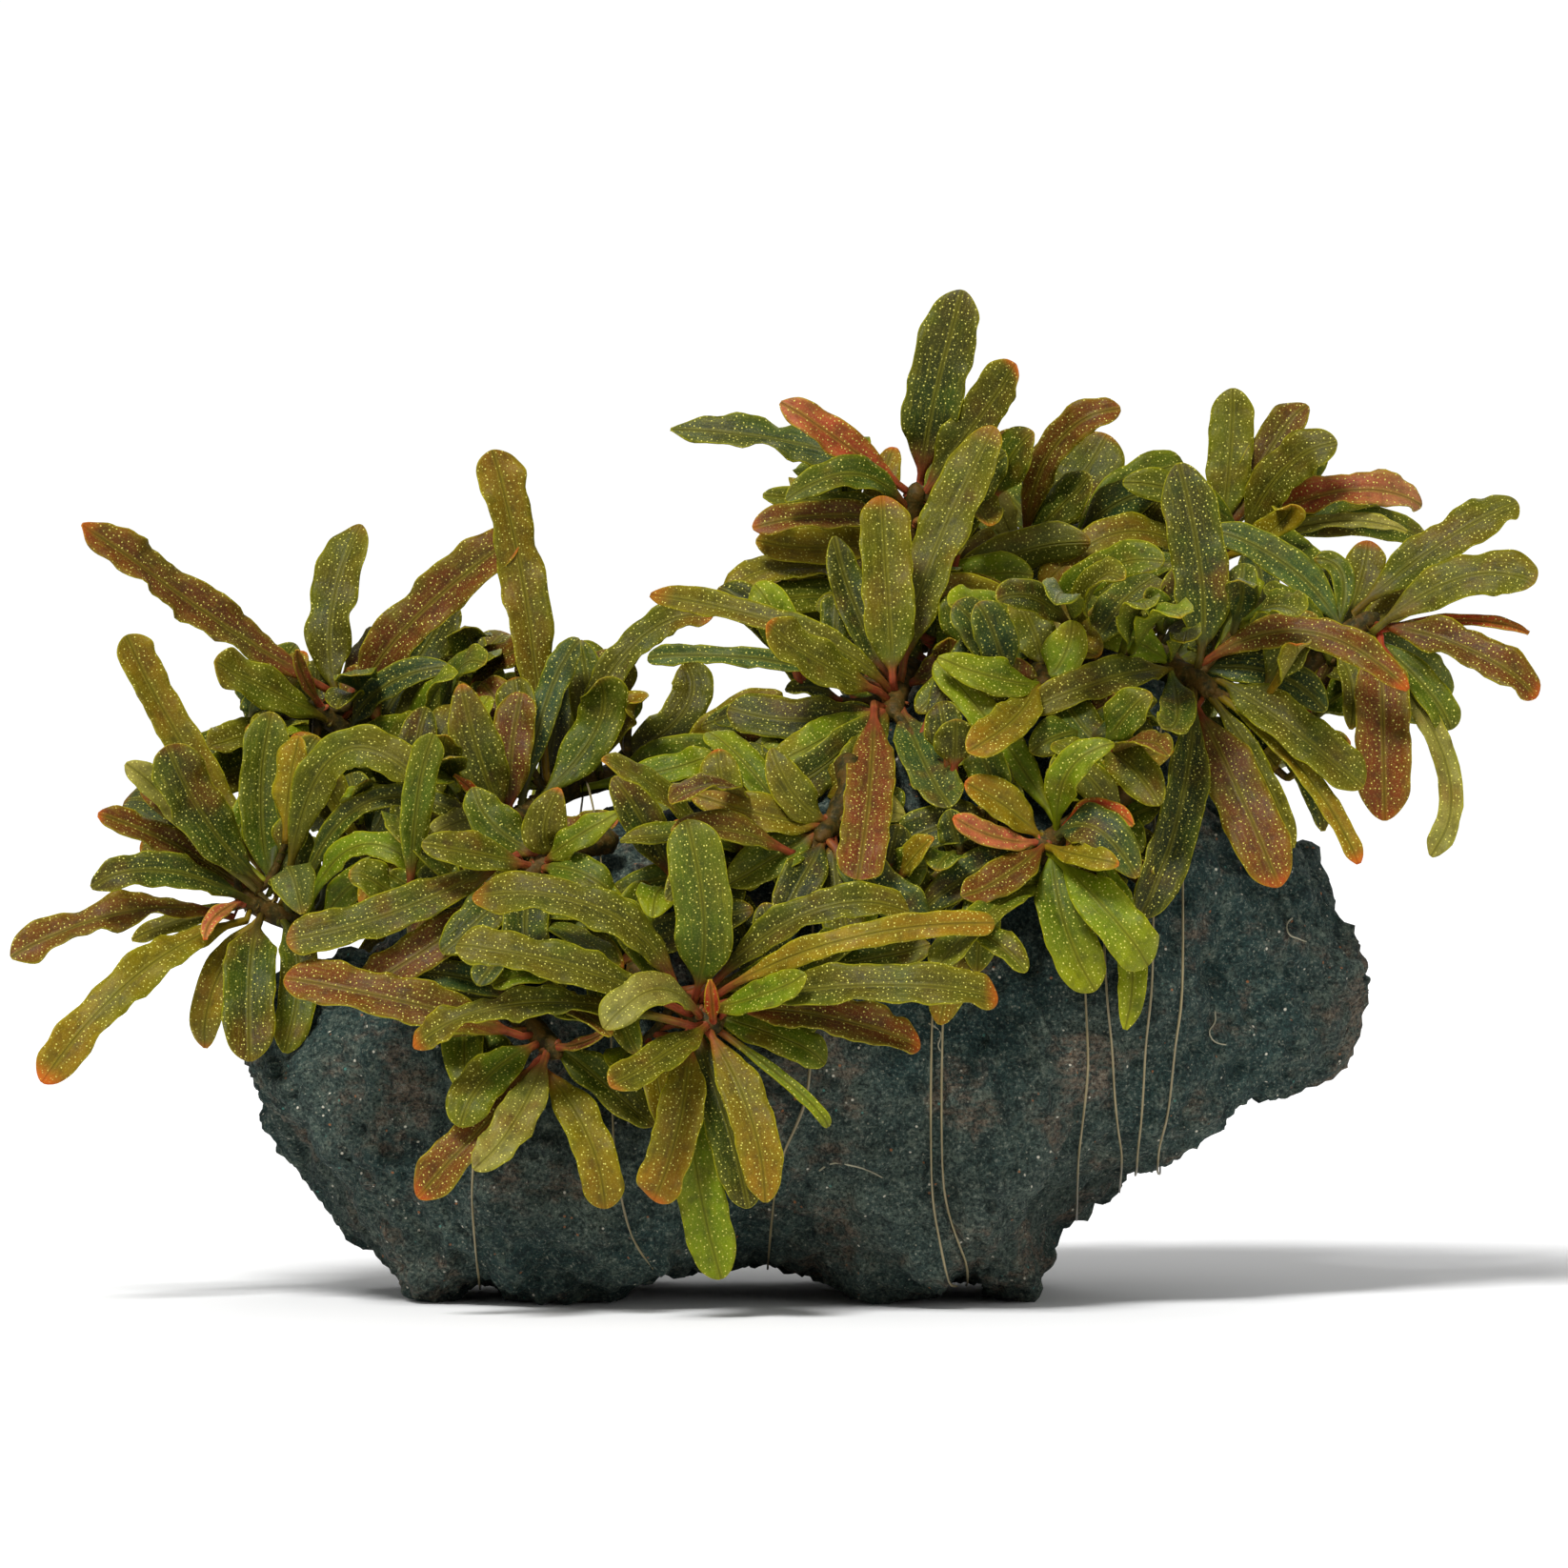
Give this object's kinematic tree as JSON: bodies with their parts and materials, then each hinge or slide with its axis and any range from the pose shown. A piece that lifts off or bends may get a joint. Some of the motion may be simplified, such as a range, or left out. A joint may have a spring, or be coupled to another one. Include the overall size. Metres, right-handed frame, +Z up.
{
  "type": "bucephalandra on lava rock",
  "caption": "Epiphytic aquarium plants with long wavy leaves, tied by their creeping stems to a dark porous lump of lava rock that stands on flat feet.",
  "frame": {"origin": "on the ground under the middle of the whole, between the rock's feet", "axes": "+X along the rock's long way, -Y towards the side the leaves are shown from, +Z up"},
  "size_m": [0.1598, 0.1076, 0.1055],
  "materials": {
    "lava": "porous, dull, near black",
    "thread": "semi-clear line",
    "stem": "living stem with young leaves",
    "green": "living leaf, soft sheen",
    "bright": "living leaf, soft sheen",
    "olive": "living leaf, soft sheen",
    "dark": "living leaf, soft sheen",
    "teal": "living leaf, soft sheen",
    "brown": "living leaf, soft sheen",
    "red": "living leaf, soft sheen",
    "ochre": "living leaf, soft sheen"
  },
  "bodies": {
    "root": {"lava_rock": "lava", "tie_line": "thread", "rhizome_front_centre": "stem", "rhizome_front_left": "stem", "rhizome_left": "stem", "rhizome_upper_left": "stem", "rhizome_mid_left": "stem", "rhizome_centre": "stem", "rhizome_top": "stem", "rhizome_right": "stem", "rhizome_far_right": "stem", "rhizome_mid_right": "stem", "rhizome_upper_right": "stem", "rhizome_back_top": "stem", "rhizome_mid_front": "stem", "rhizome_inner_centre": "stem", "rhizome_upper_mid": "stem", "rhizome_back_left": "stem", "rhizome_back_right": "stem", "leaf_upper_left_1": "brown", "leaf_upper_left_2": "olive", "leaf_upper_left_3": "brown", "leaf_left_1": "dark", "leaf_left_2": "green", "leaf_left_3": "brown", "leaf_left_4": "ochre", "leaf_left_5": "dark", "leaf_left_6": "olive", "leaf_left_7": "ochre", "leaf_mid_left_1": "ochre", "leaf_mid_left_2": "olive", "leaf_front_centre_1": "green", "leaf_front_centre_2": "olive", "leaf_front_centre_3": "olive", "leaf_front_centre_4": "olive", "leaf_front_centre_5": "olive", "leaf_front_centre_6": "ochre", "leaf_front_centre_7": "olive", "leaf_front_centre_8": "brown", "leaf_front_centre_9": "ochre", "leaf_front_centre_10": "bright", "leaf_front_left_1": "brown", "leaf_front_left_2": "ochre", "leaf_front_left_3": "brown", "leaf_centre_1": "olive", "leaf_centre_2": "olive", "leaf_centre_3": "olive", "leaf_centre_4": "red", "leaf_top_1": "dark", "leaf_top_2": "teal", "leaf_right_1": "dark", "leaf_right_2": "brown", "leaf_right_3": "olive", "leaf_far_right_1": "olive", "leaf_far_right_2": "olive", "leaf_far_right_3": "red", "leaf_mid_right_1": "bright", "leaf_upper_right_1": "olive", "leaf_mid_front_1": "olive", "leaf_back_top_1": "olive"}
  },
  "joints": []
}
